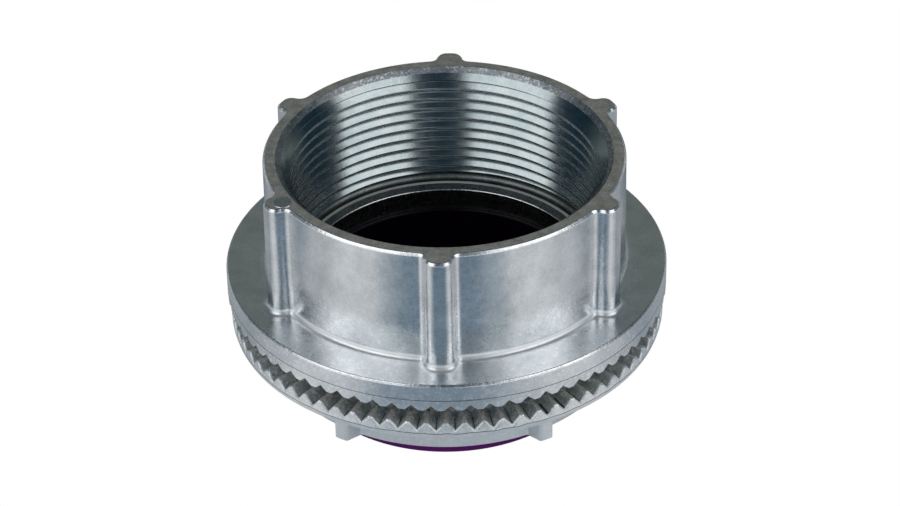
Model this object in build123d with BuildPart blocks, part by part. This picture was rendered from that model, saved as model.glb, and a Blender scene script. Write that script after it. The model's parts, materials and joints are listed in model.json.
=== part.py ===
from build123d import *
import os

os.makedirs("parts", exist_ok=True)

# Watertight conduit hub for 2 inch threaded conduit, in millimetres.
# The origin is on the axis, in the plane of the flange's tooth tips, which bite the enclosure wall.
# +Z points out of the enclosure, towards the conduit.

# Threads
pipe_r = 30.15  # outside radius of 2 inch conduit
thread_pitch = 25.4 / 11.5  # 2 inch pipe threads have 11.5 turns to the inch
thread_turns = 10
thread_bite = 1.45  # how far the thread's crests stand inside the conduit's outside
thread_depth = 1.03
thread_land = 0.45  # flat on a full crest

# Barrel with its ribs
barrel_wall = 3.89  # metal behind the thread's roots
mouth_width = 2.6  # lead-in cone at the rim, outside the crests
mouth_depth = 2.06  # from the rim to the first crest
mouth_clip = 0.58  # the lead-in cone cuts this much off the first crest
relief_depth = 1.0  # groove past the last thread, outside the crests
relief_height = 0.8
relief_gap = 0.57  # from the groove to the last crest
stop_lip = 2.25  # how far the bore's edge stands inside the crests
stop_width = 1.75  # the conduit's stop, a shallow dish round the bore
stop_dish = 0.75  # the dish falls this much to the bore
stop_bevel = 1.55  # height of the slope from the stop to the groove
rib_count = 6
rib_turn = 30  # degrees
rib_height = 2.98  # outside the barrel
rib_tip = 4.4
rib_flare = 0.55  # extra half width of a rib at the barrel
rib_tip_round = 1.3
rib_root_round = 1.4
rim_chamfer = 0.4
foot_chamfer = 0.8  # barrel and ribs to flange

# Flange
flange_height = 5.55
flange_chamfer = 0.45
recess_depth = 3.0  # pocket for the sealing ring
stop_rise = 0.45  # from that pocket's ceiling to the conduit's stop, which lies inside it
recess_play = 0.4
tooth_ring = 4.05  # radial width of the toothed rim
tooth_lip = 0.4  # plain edge between the teeth and that pocket

# Teeth, the same number on the flange and on the locknut
tooth_count = 74
flange_notch_width = 2.45
flange_notch_depth = 1.08
flange_tooth_turn = 0.3  # degrees
nut_notch_width = 2.65
nut_notch_depth = 1.6
nut_tooth_turn = 1.4  # degrees
overrun = 1.0  # a cutter's length past what it cuts

# Nipple, locknut and the grip between the two rings of teeth
nipple_play = 0.25  # the nipple's thread is this much under the conduit's size
nipple_stickout = 2.4  # past the locknut
nipple_chamfer = 0.6
wall_grip = 3.35  # from the flange's tooth tips to the locknut's
nut_clearance = 0.06
nut_inset = 0.5  # the locknut's rim stands inside the flange's
nut_rim_height = 3.55
nut_rim_chamfer = 0.4
nut_height = 11.45
nut_tooth_ring = 4.2
collar_wall = 3.35
collar_chamfer = 0.4
nut_bore_chamfer = 0.8
lug_count = 6
lug_turn = 0.45  # degrees
lug_reach = 4.5  # outside the collar
lug_width = 2.75
lug_rise = 1.4  # a lug's outer end stops this much short of the collar's end
lug_chamfer = 0.5

# Sealing ring
seal_play = 0.5  # outside the nipple
seal_width = 6.8
seal_gap = 0.35  # to the locknut's face
seal_chamfer = 1.5

# Insulating liner of the throat
liner_play = 0.05
liner_wall = 0.82
liner_length = 15.65  # inside the nipple
lip_height = 3.05
lip_width = 1.75  # over the nipple's end
lip_chamfer = 0.6
lip_mouth_chamfer = 0.8

tiny = 0.001  # how closely an edge or face is matched when it is looked up

# Radii that follow
crest_r = pipe_r - thread_bite
root_r = crest_r + thread_depth
barrel_r = root_r + barrel_wall
rib_r = barrel_r + rib_height
relief_r = crest_r + relief_depth
bore_r = crest_r - stop_lip
first_crest_r = crest_r + mouth_clip
stop_r = bore_r + stop_width
mouth_rim_r = crest_r + mouth_width
nipple_r = pipe_r - nipple_play
seal_inner_r = nipple_r + seal_play
seal_outer_r = seal_inner_r + seal_width
recess_r = seal_outer_r + recess_play
flange_r = recess_r + tooth_ring
nut_bore_r = nipple_r + nut_clearance
collar_r = nut_bore_r + collar_wall
nut_r = flange_r - nut_inset
lug_r = collar_r + lug_reach
liner_outer_r = bore_r - liner_play
liner_inner_r = liner_outer_r - liner_wall
lip_r = bore_r + lip_width

# Heights that follow
stop_z = recess_depth + stop_rise
relief_end_z = stop_z + stop_bevel
relief_z = relief_end_z + relief_height
last_crest_z = relief_z + relief_gap
first_crest_z = last_crest_z + (thread_turns - 1) * thread_pitch
rim_z = first_crest_z + mouth_depth
nut_top_z = -wall_grip
nut_rim_z = nut_top_z - nut_rim_height
nut_end_z = nut_top_z - nut_height
nipple_end_z = nut_end_z - nipple_stickout
liner_top_z = nipple_end_z + liner_length
lip_end_z = nipple_end_z - lip_height


def thread_outline():
    """Radius and height of each corner of the thread's section, from the mouth's cone down.

    The cone cuts the first crest. The first full crest and the last have their land, and those
    between come to an edge.
    """
    corners = [(first_crest_r, first_crest_z)]
    for turn in range(1, thread_turns):
        crest_z = first_crest_z - turn * thread_pitch
        corners.append((root_r, crest_z + thread_pitch / 2))
        if turn in (1, thread_turns - 1):
            corners.append((crest_r, crest_z + thread_land / 2))
            corners.append((crest_r, crest_z - thread_land / 2))
        else:
            corners.append((crest_r, crest_z))
    return corners


# Everything inside the hub body, from the mouth to the end of the nipple
with BuildPart() as hub_inside:
    with BuildSketch(Plane.XZ):
        with BuildLine():
            Polyline(
                (0, rim_z + overrun),
                (mouth_rim_r, rim_z + overrun),
                (mouth_rim_r, rim_z),
                *thread_outline(),
                (relief_r, relief_z),
                (relief_r, relief_end_z),
                (stop_r, stop_z),
                (bore_r, stop_z - stop_dish),
                (bore_r, nipple_end_z - overrun),
                (0, nipple_end_z - overrun),
                (0, rim_z + overrun),
            )
        make_face()
    revolve(axis=Axis.Z)

# One notch between two teeth of the flange, which runs out before the sealing ring's pocket
notch_start = recess_r + tooth_lip
notch_slope = Vector(flange_r - notch_start, 0, flange_notch_depth)
with BuildPart() as flange_notch:
    with BuildSketch(Plane(origin=(notch_start, 0, 0), x_dir=(0, 1, 0), z_dir=notch_slope)):
        with BuildLine():
            Polyline(
                (0, 0),
                (-flange_notch_width, -flange_notch_depth * 2),
                (flange_notch_width, -flange_notch_depth * 2),
                close=True,
            )
        make_face()
    extrude(amount=notch_slope.length + overrun)

# One rib's outline, on the X axis, with its flanks running on into the barrel
with BuildSketch() as rib_outline:
    with BuildLine():
        Polyline(
            (barrel_r - rib_height, rib_tip / 2 + 2 * rib_flare),
            (rib_r, rib_tip / 2),
            (rib_r, -rib_tip / 2),
            (barrel_r - rib_height, -rib_tip / 2 - 2 * rib_flare),
            close=True,
        )
    make_face()
    fillet(rib_outline.vertices().sort_by(Axis.X)[-2:], rib_tip_round)

# The outline of the barrel and all its ribs
with BuildSketch() as barrel_outline:
    Circle(barrel_r)
    with PolarLocations(0, rib_count, start_angle=rib_turn):
        add(rib_outline.sketch)
    roots = barrel_outline.vertices().filter_by(lambda v: abs(Vector(v).length - barrel_r) < tiny)
    fillet(roots, rib_root_round)

# Hub body: barrel with ribs, toothed flange and nipple, die-cast in one piece
with BuildPart() as hub_body:
    with BuildSketch(Plane.XY.offset(rim_z)):
        add(barrel_outline.sketch)
    extrude(amount=-(rim_z - flange_height))
    chamfer(hub_body.faces().sort_by(Axis.Z)[-1].edges(), rim_chamfer)
    with BuildSketch(Plane.XZ):
        with BuildLine():
            Polyline(
                (0, flange_height),
                (flange_r, flange_height),
                (flange_r, 0),
                (recess_r, 0),
                (recess_r, recess_depth),
                (nipple_r, recess_depth),
                (nipple_r, nipple_end_z + nipple_chamfer),
                (nipple_r - nipple_chamfer, nipple_end_z),
                (0, nipple_end_z),
                close=True,
            )
        make_face()
    revolve(axis=Axis.Z)
    circles = hub_body.edges().filter_by(GeomType.CIRCLE)
    chamfer(circles.filter_by(lambda e: abs(e.radius - flange_r) < tiny).sort_by(Axis.Z)[-1], flange_chamfer)
    level_faces = hub_body.faces().filter_by(Axis.Z)
    flange_top = level_faces.filter_by(lambda f: abs(f.center().Z - flange_height) < tiny)[0]
    chamfer(flange_top.inner_wires()[0].edges(), foot_chamfer)
    add(hub_inside.part, mode=Mode.SUBTRACT)
    with PolarLocations(0, tooth_count, start_angle=flange_tooth_turn):
        add(flange_notch.part, mode=Mode.SUBTRACT)
hub_body.part.label = "hub_body"
export_step(hub_body.part, "parts/hub_body.step")

# One notch between two teeth of the locknut
with BuildPart() as nut_notch:
    with BuildSketch(Plane.YZ.offset(nut_r - nut_tooth_ring)):
        with BuildLine():
            Polyline(
                (-nut_notch_width / 2, nut_top_z),
                (0, nut_top_z - nut_notch_depth),
                (nut_notch_width / 2, nut_top_z),
                (nut_notch_width / 2, nut_top_z + overrun),
                (-nut_notch_width / 2, nut_top_z + overrun),
                close=True,
            )
        make_face()
    extrude(amount=nut_tooth_ring + overrun)

# One lug under the locknut's rim, for a driver's blade or a hammer and punch
with BuildPart() as lug:
    with BuildSketch(Plane.XZ):
        with BuildLine():
            Polyline(
                (collar_r - collar_wall / 2, nut_rim_z),
                (lug_r, nut_rim_z),
                (lug_r, nut_end_z + lug_rise),
                (collar_r, nut_end_z),
                (collar_r - collar_wall / 2, nut_end_z),
                close=True,
            )
        make_face()
    extrude(amount=lug_width / 2, both=True)
    lug_tip = lug.faces().sort_by(Axis.X)[-1]
    chamfer(lug_tip.edges().filter_by(Axis.Z), lug_chamfer)

# Locknut: toothed rim, collar and lugs, die-cast in one piece
with BuildPart() as locknut:
    with BuildSketch(Plane.XZ):
        with BuildLine():
            Polyline(
                (nut_bore_r, nut_top_z - nut_bore_chamfer),
                (nut_bore_r + nut_bore_chamfer, nut_top_z),
                (nut_r, nut_top_z),
                (nut_r, nut_rim_z),
                (collar_r, nut_rim_z),
                (collar_r, nut_end_z),
                (nut_bore_r + nut_bore_chamfer, nut_end_z),
                (nut_bore_r, nut_end_z + nut_bore_chamfer),
                close=True,
            )
        make_face()
    revolve(axis=Axis.Z)
    circles = locknut.edges().filter_by(GeomType.CIRCLE)
    chamfer(circles.filter_by(lambda e: abs(e.radius - nut_r) < tiny).sort_by(Axis.Z)[0], nut_rim_chamfer)
    chamfer(circles.filter_by(lambda e: abs(e.radius - collar_r) < tiny).sort_by(Axis.Z)[0], collar_chamfer)
    with PolarLocations(0, lug_count, start_angle=lug_turn):
        add(lug.part)
    with PolarLocations(0, tooth_count, start_angle=nut_tooth_turn):
        add(nut_notch.part, mode=Mode.SUBTRACT)
locknut.part.label = "locknut"
export_step(locknut.part, "parts/locknut.step")

# Sealing ring in the flange's pocket
with BuildPart() as sealing_ring:
    with BuildSketch(Plane.XZ) as seal_section:
        with BuildLine():
            Polyline(
                (seal_inner_r, nut_top_z + seal_gap),
                (seal_outer_r, nut_top_z + seal_gap),
                (seal_outer_r, recess_depth),
                (seal_inner_r, recess_depth),
                close=True,
            )
        make_face()
        chamfer(seal_section.vertices(), seal_chamfer)
    revolve(axis=Axis.Z)
sealing_ring.part.label = "sealing_ring"
export_step(sealing_ring.part, "parts/sealing_ring.step")

# Insulating liner of the throat, with the lip that covers the nipple's end
with BuildPart() as throat_liner:
    with BuildSketch(Plane.XZ):
        with BuildLine():
            Polyline(
                (liner_inner_r, lip_end_z + lip_mouth_chamfer),
                (liner_inner_r, liner_top_z),
                (liner_outer_r, liner_top_z),
                (liner_outer_r, nipple_end_z),
                (lip_r, nipple_end_z),
                (lip_r, lip_end_z + lip_chamfer),
                (lip_r - lip_chamfer, lip_end_z),
                (liner_inner_r + lip_mouth_chamfer, lip_end_z),
                close=True,
            )
        make_face()
    revolve(axis=Axis.Z)
throat_liner.part.label = "throat_liner"
export_step(throat_liner.part, "parts/throat_liner.step")
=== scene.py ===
import json
import math

import bmesh
import bpy
import numpy as np
from mathutils import Matrix, Vector


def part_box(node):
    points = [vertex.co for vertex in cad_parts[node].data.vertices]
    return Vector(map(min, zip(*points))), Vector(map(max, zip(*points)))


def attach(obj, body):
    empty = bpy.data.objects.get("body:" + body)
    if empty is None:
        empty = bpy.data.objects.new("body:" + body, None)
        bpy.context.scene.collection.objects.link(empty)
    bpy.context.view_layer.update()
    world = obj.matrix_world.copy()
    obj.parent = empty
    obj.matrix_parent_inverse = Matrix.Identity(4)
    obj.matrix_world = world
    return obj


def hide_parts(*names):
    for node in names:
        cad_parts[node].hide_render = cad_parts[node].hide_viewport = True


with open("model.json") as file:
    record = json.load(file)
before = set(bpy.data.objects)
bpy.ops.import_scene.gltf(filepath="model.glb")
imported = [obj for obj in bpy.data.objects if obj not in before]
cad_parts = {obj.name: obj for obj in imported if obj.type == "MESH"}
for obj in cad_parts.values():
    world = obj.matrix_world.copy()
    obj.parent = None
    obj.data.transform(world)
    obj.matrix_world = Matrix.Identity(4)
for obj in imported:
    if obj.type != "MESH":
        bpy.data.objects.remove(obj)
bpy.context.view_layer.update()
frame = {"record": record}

# Looks of a watertight conduit hub for 2 inch threaded conduit.
# Sizes are in millimetres until a mesh is made. Heights are from the flange's tooth tips.
MM = 0.001


def node_size(node):
    """Radius, lowest and highest point of a CAD node."""
    low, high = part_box(node)
    return high.x / MM, low.z / MM, high.z / MM


mounts = {mount["name"]: mount["dims"] for mount in frame["record"]["mounts"]}
flange_r, nipple_end_z, rim_z = node_size("hub_body")
nut_r, nut_end_z, nut_top_z = node_size("locknut")
seal_outer_r, seal_low_z, recess_z = node_size("sealing_ring")
lip_r, lip_end_z, liner_top_z = node_size("throat_liner")
crest_r = mounts["conduit_thread"]["r_mm"]
nipple_r = mounts["nipple_through_wall"]["r_mm"]
liner_inner_r = mounts["throat"]["r_mm"]

# Castings and mouldings
SIDE_INSET = 0.01  # their sides lie this far inside the CAD solids
DRAFTED_INSET = 0.03  # and this far where draft narrows them
EDGE_MARGIN = 0.4  # a row this far before an edge keeps its face flat
EDGE_SLOPE = 1.2  # height of a worn edge over its width

# Threads
INCH = 25.4
TURNS_PER_INCH = 11.5
PITCH = INCH / TURNS_PER_INCH
THREAD_DEPTH = 1.03
THREAD_LAND = 0.40  # flat of a crest, before its corners are rounded
OPEN_FLANK = 45.0  # slope of the flank that faces the mouth
OPEN_CREST_ROUND = 0.42
OPEN_ROOT_ROUND = 0.1
BACK_FLANK = 30.0
BACK_CREST_ROUND = 0.12
BACK_ROOT_ROUND = 0.06
CREST_Z = 26.68  # height of one crest's middle on the +Y side
THREAD_END_Z = 5.3
THREAD_BACK = 0.1  # a thread's back is sunk this much into its casting
THREAD_COLUMNS = 288
CREST_DEPTH = 0.01  # of what still counts as crest
NIPPLE_CREST_Z = -0.9
NIPPLE_START_Z = -0.5
NIPPLE_INSET = 0.02
NIPPLE_RUNOUT = 1.2  # its top narrows this much per millimetre of height
NIPPLE_COLUMNS = 216

# Barrel and ribs
BARREL_R = 33.62
DRAFT = 0.23  # the barrel is this much wider at its foot
WALL_START = 1.5  # the plain wall starts this far below the rim
RIB_COUNT = 6
RIB_START = 30.15
RIB_R = 36.6
RIB_TIP = 4.4
RIB_FLARE = 0.55
RIB_TIP_ROUND = 2.0
RIB_ROOT_ROUND = 1.5
FOOT_ROUND = 1.3
FOOT_STEPS = 8

# Round mark of an ejector pin on one rib
PIN_R = 1.8
PIN_BEAD = 0.1  # width of the bead's top, and of its outer slope
PIN_INNER_SLOPE = 0.12
PIN_RISE = 0.06  # of the bead above the rim's face
PIN_DISC_RISE = 0.01
PIN_SUNK = 0.5
PIN_AT = 33.30
PIN_TURN = 210.75
PIN_COLUMNS = 60

# Mouth
MOUTH_R = 31.3
MOUTH_SLOPE = 0.98  # the cone narrows this much for each millimetre of depth
MOUTH_EDGE = 0.1
MOUTH_MARGIN = 0.3
TRIMMED_R = 30.3  # the cone is rough outside this radius
TRIMMED_GAP = 0.02
RIM_EDGE = 0.42  # width of the rim's worn edge
RIM_INNER_ROUND = 0.25
RIM_OUTER_ROUND = 0.3
trimmed_z = rim_z - (MOUTH_R - TRIMMED_R) / MOUTH_SLOPE

# Flange
FLANGE_Z = 5.55
FLANGE_EDGE = 0.34
FLANGE_INNER_ROUND = 0.3
FLANGE_OUTER_ROUND = 0.35
PARTING_Z = 2.2
PARTING_STEP = 0.09
PARTING_HALF = 0.07  # half the parting line's width

# Pocket, nipple, bore and stop
RECESS_R = 37.6
POCKET_EDGE = 0.1
POCKET_EDGE_RISE = 0.15
POCKET_ROUND = 0.3
NIPPLE_EDGE = 0.4
NIPPLE_EDGE_RISE = 0.1
BORE_R = 26.45
BORE_CHAMFER = 0.2
BORE_EDGE = 0.3
BORE_MIDDLE_Z = 1.0
STOP_R = 28.2
STOP_Z = 3.45
STOP_ROUND = 1.7
STOP_DISH = 0.75
STOP_RISE = 0.1
RIDGE_HIGHLIGHT_WIDTH = 0.8  # of the painted highlight line, a lighter material, on the stop's ridge
GROOVE_R = 29.9
GROOVE_ROUND = 1.3
GROOVE_MARGIN = 0.2  # it reaches this far past the thread's end

# Teeth
TOOTH_COUNT = 74
TOOTH_EDGE = 0.04  # rounding of a tooth's edges
NOTCH_BOTTOM = 0.02  # rounding of a notch's bottom
FLANGE_TOOTH_TURN = 0.3
FLANGE_NOTCH_WIDTH = 2.45
FLANGE_NOTCH_DEPTH = 1.08
FLANGE_NOTCH_START = 38.0
FLANGE_NOTCH_POINTS = (0.1, 0.12, 0.12)  # beside a notch's bottom, inside its edge and outside it
FLANGE_TOOTH_ROWS = (40.4, 39.4, 38.5, 37.95)
FLANGE_TIP_ROWS = ((0.0, 0.16), (0.03, 0.06), (0.12, 0.0))  # inset and height along a tooth's edge
FLANGE_WOBBLE = 0.03  # typical spread of the notches' depths, as a share
NUT_TOOTH_TURN = 1.4
NUT_NOTCH_WIDTH = 2.65
NUT_NOTCH_DEPTH = 1.6
NUT_NOTCH_START = 35.9
NUT_NOTCH_RUN = 0.25
NUT_NOTCH_POINTS = (0.08, 0.14, 0.1)
NUT_TOOTH_ROWS = (37.4, 38.9, 40.2)
NUT_TIP_ROWS = ((0.42, 0.0), (0.26, 0.06), (0.07, 0.26), (0.0, 0.50))  # inset and drop
NUT_WOBBLE = 0.025
SHADE_SHARE = 0.85  # painted shade: a notch's bottom gets the dark material below this share of its full depth
CHIP = 0.04  # typical depth of the chips along the nut's tooth edges
CHIP_INSET = 0.5  # a chip goes inward this much of its depth

# Locknut
NUT_RIM_Z = -6.9
NUT_RIM_ROUND = 0.45
NUT_RIM_DRAFT = 0.35
NUT_PARTING_Z = -5.6
NUT_PARTING_HALF = 0.08
NUT_PARTING_INSET = 0.12
NUT_PARTING_WAVE = 0.05
NUT_WAVE_POINTS = 181
NUT_BORE_R = 29.96
NUT_BORE_CHAMFER = 0.8
NUT_BORE_ROUND = 0.1
COLLAR_R = 33.31
COLLAR_ROUND = 0.2
COLLAR_FILLET = 0.5
COLLAR_MARGIN = 0.3
LUG_COUNT = 6
LUG_START = 0.45
LUG_R = 37.81
LUG_WIDTH = 2.75
LUG_FLARE = 0.08
LUG_RISE = 1.4
LUG_ROUND = 0.55
LUG_ROOT_ROUND = 0.5

# Sealing ring and liner
SEAL_WIDTH = 6.8
SEAL_START = 3  # its outline starts this far from the inner side
SEAL_LOW_GAP = 0.005
SEAL_TOP_GAP = 0.02
SEAL_TOP_INSET = 0.02
SEAL_INNER_ROUND = 1.2
SEAL_TOP_ROUND = 1.0
SEAL_LOW_ROUND = 0.08
LINER_GAP = 0.05  # between liner and bore
LINER_EDGE = 0.2
LINER_SHADE = 1  # painted shade: the liner is near-black inside, and this far down from its upper end
LIP_GAP = 0.02
LIP_TOP_ROUND = 0.4
LIP_ROUND = 0.6
LIP_INNER_ROUND = 0.7
ROUND_COLUMNS = 240

# Shading
SMOOTH_TURN = 38.0  # a corner sharper than this, in degrees, stays a crisp edge
SAME_ANGLE = 0.0008  # outline points closer than this, in radians, are one
SLOPE_STEP = 0.0006
LOBE_SUNK = 0.002  # a lobe's foot lies this far inside its circle
JOIN_DISTANCE = 0.002
COLLAPSE_DISTANCE = 0.0005


# Meshes

def make_mesh(name, points, faces, face_slots, materials):
    """A smooth shaded mesh from points in millimetres."""
    mesh = bpy.data.meshes.new(name)
    mesh.from_pydata((np.asarray(points) * MM).tolist(), [], faces.tolist())
    mesh.polygons.foreach_set("material_index", np.asarray(face_slots, np.int32))
    for material in materials:
        mesh.materials.append(material)
    mesh.shade_smooth()
    piece = bpy.data.objects.new(name, mesh)
    bpy.context.scene.collection.objects.link(piece)
    return piece


def is_inside_out(points, faces):
    """Whether the solid that four-sided faces close has a negative volume."""
    a, b, c, d = (points[faces[:, k]] for k in range(4))
    first = np.einsum("ij,ij->i", a, np.cross(b, c)).sum()
    second = np.einsum("ij,ij->i", a, np.cross(c, d)).sum()
    return first + second < 0


def unit(vectors):
    return vectors / np.maximum(np.linalg.norm(vectors, axis=-1, keepdims=True), 1e-12)


def side_slopes(before, after, before_length, after_length):
    """Directions before and after each point, made one where the turn between them is gentle."""
    gentle = (unit(before) * unit(after)).sum(-1, keepdims=True) > math.cos(math.radians(SMOOTH_TURN))
    shared = unit(unit(before) * before_length[..., None] + unit(after) * after_length[..., None])
    return np.where(gentle, shared, unit(before)), np.where(gentle, shared, unit(after))


def corner_normals(rows, sides):
    """Normals at the four corners of each face of a ring, from its rows and their outward directions.

    A normal follows the true circle or outline, and not the flat faces between its points.
    """
    down_after = np.roll(rows, -1, 0) - rows
    down_before = rows - np.roll(rows, 1, 0)
    down_before, down_after = side_slopes(
        down_before, down_after, np.linalg.norm(down_before, axis=-1), np.linalg.norm(down_after, axis=-1))
    around = np.stack([-sides[..., 1], sides[..., 0]], -1)
    step = np.roll(rows, -1, 1) - rows
    run = np.linalg.norm(step[..., :2], axis=-1)
    rise = step[..., 2] / np.maximum(run, 1e-9)
    run_before, rise_before = np.roll(run, 1, 1), np.roll(rise, 1, 1)
    along_before = np.concatenate([around, rise_before[..., None]], -1)
    along_after = np.concatenate([around, rise[..., None]], -1)
    along_before, along_after = side_slopes(along_before, along_after, run_before, run)

    def at(side, down, k, i):
        return unit(np.cross(np.roll(side, (-k, -i), (0, 1)), np.roll(down, (-k, -i), (0, 1))))

    return np.stack([at(along_after, down_after, 0, 0), at(along_after, down_before, 1, 0),
                     at(along_before, down_before, 1, 1), at(along_before, down_after, 0, 1)], 2)


def ring_solid(name, section, materials):
    """A closed ring from a section of (row, outward directions, slot).

    A slot lies between its row and the next. It is one for the whole row, or one for each column.
    """
    rows = np.array([row for row, side, slot in section])
    sides = np.array([side for row, side, slot in section])
    count, columns = rows.shape[:2]
    k, i = np.meshgrid(np.arange(count), np.arange(columns), indexing="ij")
    here, below = k * columns, (k + 1) % count * columns
    beside = (i + 1) % columns
    faces = np.stack([here + i, below + i, below + beside, here + beside], -1).reshape(-1, 4)
    points = rows.reshape(-1, 3)
    normals = corner_normals(rows, sides).reshape(-1, 4, 3)
    if is_inside_out(points, faces):
        faces, normals = faces[:, ::-1], normals[:, ::-1]
    corners = points[faces]
    flat = np.cross(corners[:, 2] - corners[:, 0], corners[:, 3] - corners[:, 1])
    agree = np.sign((normals * flat[:, None, :]).sum(-1, keepdims=True))
    normals = np.where(agree == 0, 1, agree) * normals
    slots = np.concatenate([np.broadcast_to(slot, columns) for row, side, slot in section])
    piece = make_mesh(name, points, faces, slots, materials)
    piece.data.normals_split_custom_set(normals.reshape(-1, 3).tolist())
    return piece


def even_angles(columns):
    return np.linspace(0, 2 * math.pi, columns, endpoint=False)


def circle(angles, r, z):
    """A row of points round the axis."""
    r, z = np.broadcast_to(r, angles.shape), np.broadcast_to(z, angles.shape)
    return np.stack([r * np.cos(angles), r * np.sin(angles), z], 1)


def rounded(corners, steps=6):
    """An open outline of (a, b, radius) corners, as points with each corner rounded by its radius."""
    out = [np.array(corners[0][:2], float)]
    for before, corner, after in zip(corners, corners[1:], corners[2:]):
        radius = corner[2]
        p = np.array(corner[:2], float)
        if radius == 0:
            out.append(p)
            continue
        u = unit(np.array(before[:2], float) - p)
        v = unit(np.array(after[:2], float) - p)
        half = math.acos(np.clip(u @ v, -1, 1)) / 2
        tangent = radius / math.tan(half)
        middle = p + unit(u + v) * radius / math.sin(half)
        start, end = p + u * tangent - middle, p + v * tangent - middle
        turn = math.pi - 2 * half
        for t in np.linspace(0, 1, steps):
            arm = math.sin((1 - t) * turn) * start + math.sin(t * turn) * end
            out.append(middle + arm / math.sin(turn))
    out.append(np.array(corners[-1][:2], float))
    return np.array(out)


def unfolded(points):
    """An outline round the axis. Points that crossed at a tight inner corner lie between their neighbours."""
    turn = np.unwrap(np.arctan2(points[:, 1], points[:, 0]))
    highest_before = np.maximum.accumulate(turn)
    lowest_after = np.minimum.accumulate(turn[::-1])[::-1]
    in_order = (turn >= highest_before) & (turn <= lowest_after)
    index = np.arange(len(points))
    return np.stack([np.interp(index, index[in_order], points[in_order, k]) for k in range(2)], 1)


class Section:
    """Rows of a ring, collected from its start to its end."""

    def __init__(self, angles):
        self.angles = angles
        self.radial = np.stack([np.cos(angles), np.sin(angles)], 1)
        self.rows = []

    def circle(self, r, z, slot):
        self.rows.append((circle(self.angles, r, z), self.radial, slot))

    def circles(self, outline, slot):
        for r, z in outline:
            self.circle(r, z, slot)

    def offset(self, points, normals, distance, z, slot):
        """An outline moved out by a distance, at a height."""
        moved = unfolded(points + normals * np.broadcast_to(distance, (len(points),))[:, None])
        self.rows.append((np.column_stack([moved, np.broadcast_to(z, (len(points),))]), normals, slot))


def lobe_half(base_r, tip_r, tip_width, flare, tip_round, root_round):
    """Half of a lobe on a circle, from its tip to its root."""
    foot_r = base_r - LOBE_SUNK
    root_half = tip_width / 2 + flare
    foot = (math.sqrt(foot_r ** 2 - root_half ** 2), root_half)
    beside = (foot[0] - 2 * root_half / foot[0], foot[1] + 2)
    corners = [(tip_r, 0, 0), (tip_r, tip_width / 2, tip_round), (*foot, root_round), (*beside, 0)]
    return rounded(corners, 9)[:-1]


def lobed_outline(base_r, count, start, tip_r, tip_width, flare, tip_round, root_round, extra):
    """A circle with evenly spaced lobes, as points, outward directions and angles, sorted by angle.

    extra are more angles, in radians, at which the outline gets a point.
    """
    half = lobe_half(base_r, tip_r, tip_width, flare, tip_round, root_round)
    half_angle = np.arctan2(half[:, 1], half[:, 0])
    sector = math.pi / count
    rest = np.linspace(half_angle[-1], sector, 24)[1:]
    sides = [np.linspace(half[k], half[k + 1], 12)[:-1] for k in range(len(half) - 1)]
    circle_part = np.stack([base_r * np.cos(rest), base_r * np.sin(rest)], 1)
    dense = np.concatenate(sides + [half[-1:], circle_part])
    dense = np.concatenate([dense[:0:-1] * [1, -1], dense])
    dense_angle = np.arctan2(dense[:, 1], dense[:, 0])
    dense_r = np.hypot(dense[:, 0], dense[:, 1])
    keys = np.concatenate([-half_angle[:0:-1], half_angle])
    lobes = math.radians(start) + np.arange(count) * 2 * sector
    lobe_keys = (lobes[:, None] + keys[None, :]).ravel() % (2 * math.pi)
    apart = np.asarray(extra)[:, None] - lobe_keys[None, :]
    gap = np.abs((apart + math.pi) % (2 * math.pi) - math.pi).min(1)
    angles = np.sort(np.concatenate([lobe_keys, np.asarray(extra)[gap > SAME_ANGLE]]))
    local = (angles - math.radians(start) + sector) % (2 * sector) - sector

    def radius(a):
        return np.interp(a, dense_angle, dense_r)

    slope = (radius(local + SLOPE_STEP) - radius(local - SLOPE_STEP)) / (2 * SLOPE_STEP)
    r = radius(local)
    normal = unit(np.stack([np.ones_like(r), -slope / r], 1))
    cos, sin = np.cos(angles), np.sin(angles)
    normals = np.stack([normal[:, 0] * cos - normal[:, 1] * sin, normal[:, 0] * sin + normal[:, 1] * cos], 1)
    return np.stack([r * cos, r * sin], 1), normals, angles


def tooth_angles(turn, pitch_r, width, points):
    """Angles of every tooth's columns. points are distances from a notch's bottom and from its edges."""
    half = width / 2
    bottom, inside, outside = points
    stations = [0, bottom, half / 2, half - inside, half, half + outside]
    pitch = 2 * math.pi / TOOTH_COUNT
    local = np.array(sorted(set([-s for s in stations] + stations))) / pitch_r
    local = np.append(local, pitch / 2)
    middles = math.radians(turn) + np.arange(TOOTH_COUNT) * pitch
    return (middles[:, None] + local[None, :]).ravel() % (2 * math.pi)


def notch_depth(angles, turn, r, width, depth, local_depth, wobble):
    """Depth of the V notches at radius r, where a full notch is depth deep, and here local_depth."""
    pitch = 2 * math.pi / TOOTH_COUNT
    number = np.round((angles - math.radians(turn)) / pitch)
    offset = angles - math.radians(turn) - number * pitch
    side = np.sqrt((offset * r) ** 2 + NOTCH_BOTTOM ** 2) - NOTCH_BOTTOM
    cut = local_depth * wobble[number.astype(int) % TOOTH_COUNT] - side * 2 * depth / width
    edge = np.maximum(TOOTH_EDGE - np.abs(cut), 0) / TOOTH_EDGE
    return np.maximum(0, cut) + edge * edge * TOOTH_EDGE / 4


def thread_profile():
    """Distance down from a crest's middle, and depth, of one pitch of the thread."""
    back = THREAD_DEPTH * math.tan(math.radians(BACK_FLANK))
    front = THREAD_DEPTH * math.tan(math.radians(OPEN_FLANK))
    half = THREAD_LAND / 2
    corners = [(0, 0, 0), (half, 0, BACK_CREST_ROUND), (half + back, THREAD_DEPTH, BACK_ROOT_ROUND),
               (PITCH - half - front, THREAD_DEPTH, OPEN_ROOT_ROUND), (PITCH - half, 0, OPEN_CREST_ROUND),
               (PITCH, 0, 0)]
    return rounded(corners, 4)[:-1]


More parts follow.
